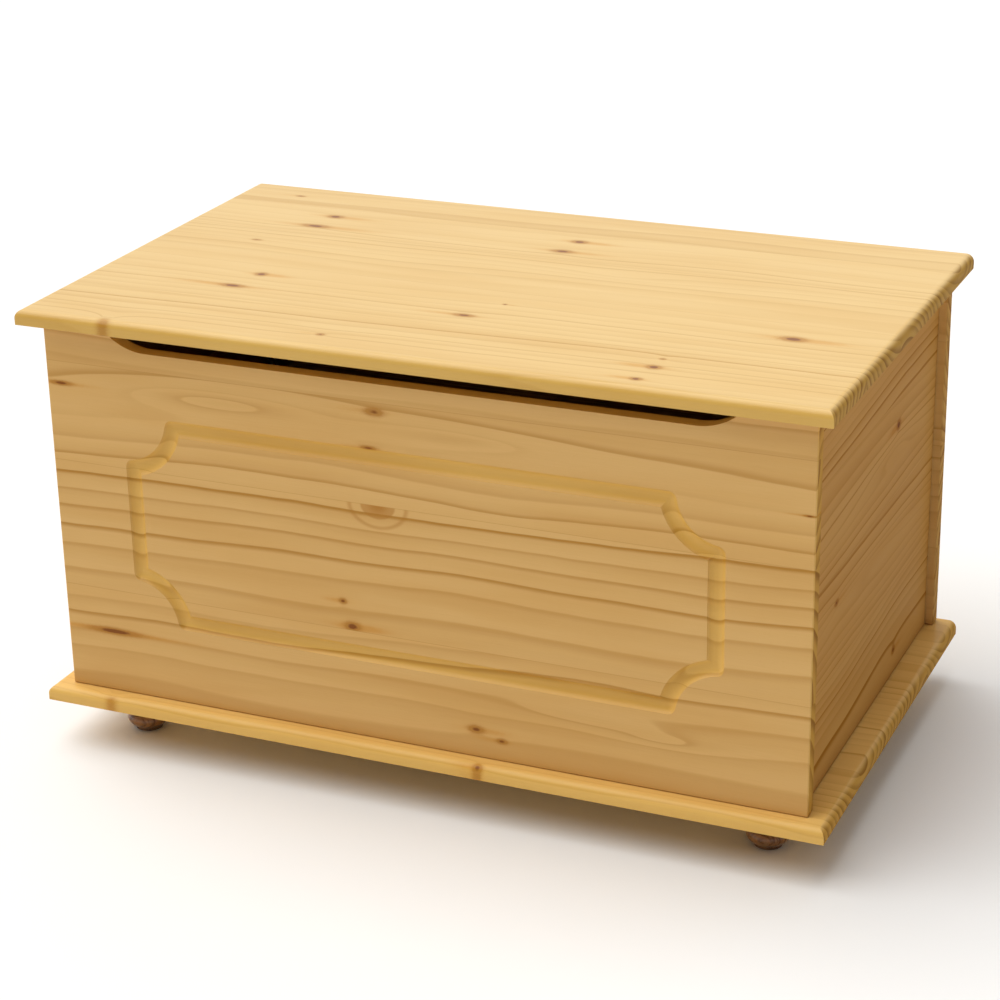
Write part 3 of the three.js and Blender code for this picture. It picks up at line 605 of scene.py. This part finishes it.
front_pine = pine(
    "pine_front", (X, Z, Y), -221, [173, 304, 405], 37,
    knots=[
        (-35, 396, 5.0, 2.4, 0.42, 2), (-75, 202, 3.0, 1.4, 0.6, 1), (-66, 177, 3.6, 1.8, 1.0, 1),
        (-42, 360, 2.6, 3.6, 0.5, 2), (-367, 383, 2.2, 4.5, 0.8, 2), (-329, 128, 2.4, 8.0, 1.3, 0),
        (59, 92, 4.2, 2.0, 0.55, 0), (85, 84, 3.2, 2.0, 0.5, 0), (376, 354, 1.0, 5.0, 0.8, 2),
    ],
    crowns=[
        (-200, 384, 90, 11, 2.6, 2), (45, 380, 80, 9, 1.8, 2), (168, 124, 60, 8, 1.4, 0),
        (244, 115, 40, 6, 1.2, 0),
    ],
    moons=[(-35, 304, 18, 1)],
    # edge: a painted highlight that brightens and yellows the routed groove, with the colour of the cut
    # wood.
    ring=15.0, contrast=1.15, gloss=0.18, tone=(0.90, 0.80, 0.71), edge=(1.05, 1.03, 0.72), routed=True,
)
back_pine = pine(
    "pine_back", (X, Z, Y), 232, [150, 262, 372], 41,
    knots=[
        (-180, 330, 6, 1.6, 0.9, 2), (120, 210, 7, 1.5, 1.0, 1), (290, 400, 4, 1.8, 0.8, 3),
        (-300, 110, 5, 1.6, 1.0, 0), (40, 300, 3, 2.0, 0.6, 2),
    ],
    crowns=[(-60, 200, 160, 14, 2.4, 1)], ring=11.0, gloss=0.15, tone=(0.92, 0.82, 0.72),
)
side_pine = pine(
    "pine_side", (Y, Z, X), 373, [165, 262, 362], 53,
    knots=[(76, 333, 4.2, 1.4, 0.9, 2), (90, 90, 5.0, 1.3, 0.5, 0), (-120, 230, 4, 2.0, 0.4, 1)],
    crowns=[(60, 310, 90, 12, 2.0, 2), (-20, 220, 120, 12, 2.2, 1)],
    ring=7.0, contrast=1.6, gloss=0.02, tone=(0.68, 0.51, 0.33),
)
dark_foot = stained_foot()
beech = bare_beech()
brass = plated("brass_plate", (0.80, 0.56, 0.22), (0.66, 0.44, 0.16), (0.36, 0.22, 0.08), 0.24)
zinc = plated("zinc_plate", (0.72, 0.73, 0.75), (0.56, 0.57, 0.60), (0.34, 0.34, 0.33), 0.26)

# ---------------------------------------------------------------- boards and panels

moulded_board("lid_board", "lid", lid_pine, 8 * MM)
moulded_board("base_board", "box", base_pine, 8 * MM)
refined("front_panel", "box", front_pine, 0.35, 34)
for node, finish in (
    ("back_panel", back_pine), ("left_side_panel", side_pine), ("right_side_panel", side_pine),
):
    refined(node, "box", finish, 0.3, 60)

# ---------------------------------------------------------------- feet

# A bun with a flat pad, a neck, a ring, and the block that the base stands on.
foot_profile = (
    [(0, 0), (11.5, 0), (13.5, 0.5)]
    + arc(0, 13.2, 21.4, 0.60, -52, 46, 22)
    + [(13.2, 24.6), (12.6, 26.0), (12.2, 28.0)]
    + arc(12.6, 32.2, 4.4, 0.85, -80, 80, 10)
    + [(12.6, 37.2), (13.4, 39.5), (15.6, 42.2), (17.6, 43.2), (17.8, 46.9), (17.2, 47.6), (0, 47.6)]
)
for end in ("front", "back"):
    for side in ("left", "right"):
        node = f"{end}_{side}_foot"
        low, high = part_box(node)
        bm = turned(foot_profile, 56)
        bmesh.ops.translate(bm, verts=bm.verts, vec=((low.x + high.x) / 2, (low.y + high.y) / 2, 0))
        finished(as_mesh(bm, node, 30), node, "box", dark_foot)

# ---------------------------------------------------------------- hinges, stays and fixings

short_screw = screw_mesh("short_screw", 1.5, 2.9, 12)
wood_screw = screw_mesh("wood_screw", 2.0, 3.9, 40)
foot_screw = screw_mesh("foot_screw", 2.2, 4.2, 35)
UP, DOWN, FORWARDS = (0, 0, 1), (0, 0, -1), (0, -1, 0)

for side, outwards in (("left", (-1, 0, 0)), ("right", (1, 0, 0))):
    refined(f"{side}_hinge_lid_leaf", "lid", brass, 0.18)
    refined(f"{side}_hinge_frame_leaf", "box", brass, 0.18)
    refined(f"{side}_hinge_pin", "box", brass, 0.2, 50)
    refined(f"{side}_stay_wall_plate", "box", zinc, 0.25, 50)
    refined(f"{side}_stay_nut", "box", zinc, 0.35, 50)
    refined(f"{side}_stay_arm", f"{side}_stay_arm", zinc, 0.25, 60)
    refined(f"{side}_stay_lid_bracket", "lid", zinc, 0.25, 60)
    refined(f"{side}_stay_rivet", "lid", zinc, 0.3, 50)
    for number in (1, 2):
        drive(short_screw, f"{side}_hinge_lid_screw_{number}", "lid", brass, UP)
        drive(short_screw, f"{side}_hinge_frame_screw_{number}", "box", brass, FORWARDS)
        drive(short_screw, f"{side}_stay_wall_screw_{number}", "box", zinc, outwards)
        drive(short_screw, f"{side}_stay_lid_screw_{number}", "lid", zinc, UP)
    drive(wood_screw, f"base_screw_{side}", "box", zinc, UP)
    for end in ("front", "back"):
        drive(wood_screw, f"base_screw_{end}_{side}", "box", zinc, UP)
        drive(foot_screw, f"{end}_{side}_foot_screw", "box", zinc, DOWN)
        for level in ("lower", "upper"):
            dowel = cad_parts[f"{end}_{side}_dowel_{level}"]
            dowel.data.materials.clear()
            dowel.data.materials.append(beech)

# ---------------------------------------------------------------- floor, light and camera

FLOOR_RADIUS = 200    # metres, so that the floor's edge lies at the horizon
FARTHEST_SEEN = 500


def pale_floor():
    """Matt pale paint, a little uneven."""
    floor_paint = Finish("pale_floor")
    x, y, z = floor_paint.spot()
    dapple = floor_paint.cloud(x * 0.004, y * 0.004, 0.0, 3)
    return floor_paint.surface(
        Base_Color=floor_paint.blend(dapple, (0.86, 0.86, 0.86), (0.88, 0.88, 0.88)), Roughness=0.9
    )


bm = bmesh.new()
bmesh.ops.create_circle(bm, cap_ends=True, radius=FLOOR_RADIUS, segments=64)
floor_mesh = as_mesh(bm, "floor")
floor_mesh.materials.append(pale_floor())
floor = bpy.data.objects.new("floor", floor_mesh)
bpy.context.scene.collection.objects.link(floor)
floor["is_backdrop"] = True

# A bright wall behind and to the left, and a dimmer room in front and to the right.
world = bpy.data.worlds.new("studio")
world.use_nodes = True
sky = Nodes(world.node_tree)
turned_sky = sky.add("Mapping", {}, {
    "Vector": sky.add("TexCoord", {}, {}).of("Generated"), "Rotation": (0, 0, math.radians(-125)),
    "Scale": (0.5, 0.5, 0.5), "Location": (0.5, 0, 0),
})
glow = sky.add("TexGradient", {}, {"Vector": turned_sky}).of("Fac").rise(0, 1)
sky_light = sky.add(
    "Background", {}, {"Color": sky.blend(glow, (0.15, 0.15, 0.15), (1.0, 1.0, 1.0)), "Strength": 0.78}
)
sky.add("OutputWorld", {}, {"Surface": sky_light})
bpy.context.scene.world = world

sun = bpy.data.lights.new("overhead_light", "SUN")
sun.energy, sun.angle, sun.color = 2.85, math.radians(70), (1.0, 0.985, 0.955)
lamp = bpy.data.objects.new("overhead_light", sun)
lamp.rotation_euler = Vector((-0.40, -0.16, 0.90)).to_track_quat("Z", "Y").to_euler()
bpy.context.scene.collection.objects.link(lamp)
lamp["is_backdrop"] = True

azimuth, elevation, roll = math.radians(23.77), math.radians(22.12), math.radians(-1.16)
level = math.cos(elevation)
behind = Vector((math.sin(azimuth) * level, -math.cos(azimuth) * level, math.sin(elevation)))
rightwards = Vector((0, 0, 1)).cross(behind).normalized()
upright = Matrix((rightwards, behind.cross(rightwards), behind)).transposed().to_4x4()
turn = upright @ Matrix.Rotation(roll, 4, "Z")
camera = bpy.data.objects.new("camera", bpy.data.cameras.new("camera"))
camera.data.lens = 93.6
camera.data.clip_start, camera.data.clip_end = 0.1, FARTHEST_SEEN
camera.matrix_world = Matrix.Translation((0.9586, -2.1976, 1.2056)) @ turn
bpy.context.scene.collection.objects.link(camera)
bpy.context.scene.camera = camera
bpy.context.scene.view_settings.view_transform = "Standard"

low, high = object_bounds()
